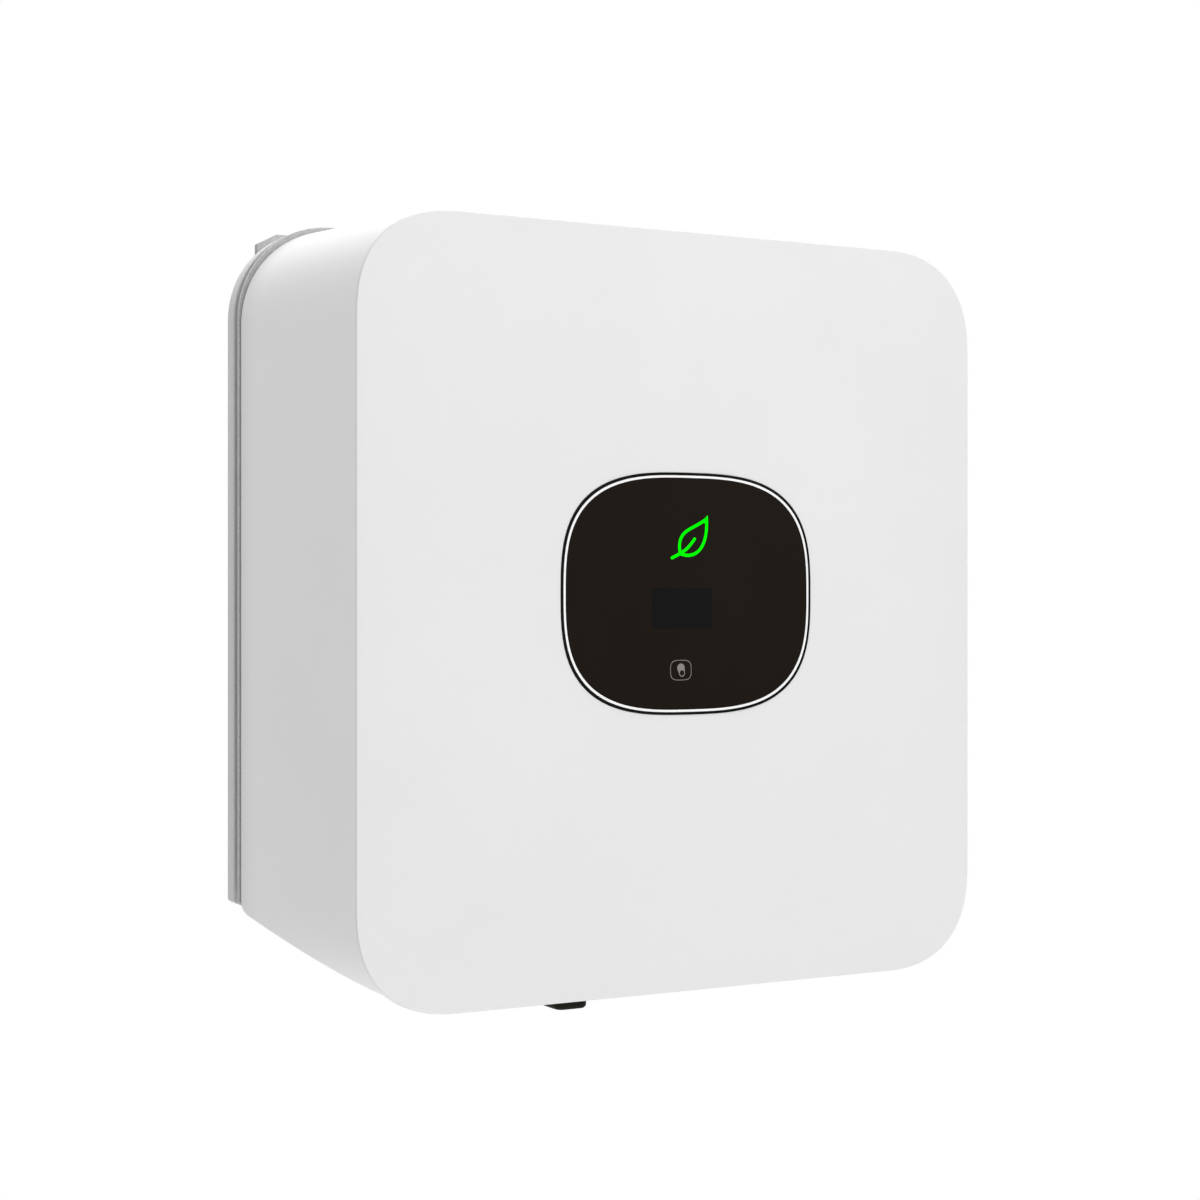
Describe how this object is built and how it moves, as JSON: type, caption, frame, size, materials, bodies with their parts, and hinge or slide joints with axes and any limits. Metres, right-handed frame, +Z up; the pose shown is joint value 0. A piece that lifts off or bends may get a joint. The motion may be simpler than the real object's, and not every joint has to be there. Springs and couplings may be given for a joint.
{
  "type": "string inverter",
  "caption": "Wall-hung solar string inverter: flared white cover with a dark display, finned heat sink, wall bracket and a row of connectors under the skirt.",
  "frame": {"origin": "centre of the rectangle of wall screws, on the wall face of the bracket", "axes": "+Z up, +Y into the wall, +X to the right of someone facing the front"},
  "size_m": [0.2546, 0.1383, 0.2796],
  "materials": {
    "cover_white": "fine moulded texture, satin",
    "panel_black": "polished",
    "ring_white": "polished",
    "leaf_green": "lit from behind",
    "screen_dark": "smooth, off",
    "mark_grey": "printed",
    "board_green": "solder resist",
    "seal_dark": "matt",
    "frame_grey": "powder coat",
    "sink_metal": "as extruded, anodised",
    "plate_metal": "powder coat",
    "zinc_steel": "zinc plated",
    "screw_steel": "plain",
    "moulded_black": "fine moulded texture",
    "cap_rubber": "soft, matt",
    "contact_brass": "bright",
    "post_metal": "nickel plated",
    "can_sleeve": "shrunk sleeve",
    "winding": "enamelled copper",
    "film_yellow": "moulded box",
    "tape_amber": "taped winding",
    "terminal_green": "moulded",
    "pad_blue": "soft pad",
    "dc_jacket": "insulated lead",
    "ac_jacket": "insulated lead",
    "ribbon_grey": "flat cable"
  },
  "bodies": {
    "bracket": {"wall_bracket": "zinc_steel"},
    "inverter": {"front_cover": "cover_white", "display_bezel": "panel_black", "display_lens": "panel_black", "display_ring": "ring_white", "status_leaf": "leaf_green", "display_screen": "screen_dark", "screen_module": "screen_dark", "touch_key": "mark_grey", "display_board": "board_green", "power_board": "board_green", "control_card": "board_green", "cover_gasket": "seal_dark", "groove_seal": "seal_dark", "rear_frame": "frame_grey", "heat_sink": "sink_metal", "connector_plate": "plate_metal", "hanger_rails": "zinc_steel", "clamp_bar": "zinc_steel", "display_screws": "screw_steel", "frame_screws": "screw_steel", "cover_screws": "screw_steel", "rail_screws": "screw_steel", "plate_screws": "screw_steel", "grid_screws": "screw_steel", "earth_screw": "screw_steel", "board_screws": "screw_steel", "clamp_screws": "screw_steel", "switch_body": "moulded_black", "switch_collar": "moulded_black", "pv_plus_socket": "moulded_black", "pv_minus_socket": "moulded_black", "pv_nuts": "moulded_black", "data_port": "moulded_black", "breather": "moulded_black", "grid_socket": "moulded_black", "transistors": "moulded_black", "grid_relays": "moulded_black", "current_sensor": "moulded_black", "pv_contacts": "contact_brass", "grid_contacts": "contact_brass", "earth_washer": "contact_brass", "board_posts": "post_metal", "bus_capacitors": "can_sleeve", "boost_choke": "winding", "filter_chokes": "winding", "noise_choke": "winding", "film_capacitors": "film_yellow", "supply_transformer": "tape_amber", "dc_terminals": "terminal_green", "ac_terminals": "terminal_green", "thermal_pads": "pad_blue", "dc_leads": "dc_jacket", "ac_leads": "ac_jacket", "ribbon": "ribbon_grey"},
    "switch_handle": {"switch_knob": "moulded_black", "switch_shaft": "screw_steel"},
    "cap": {"port_cap": "cap_rubber"}
  },
  "joints": [
    {"name": "lift_off", "type": "slide", "parent": "bracket", "child": "inverter", "axis": [0, 0, 1], "range_m": [0, 0.02]},
    {"name": "switch_turn", "type": "hinge", "parent": "inverter", "child": "switch_handle", "pos_m": [-0.024, -0.0855, -0.1], "axis": [0, 0, 1], "range_deg": [0, 90]},
    {"name": "cap_pull", "type": "slide", "parent": "inverter", "child": "cap", "axis": [0, 0, -1], "range_m": [0, 0.03]}
  ]
}
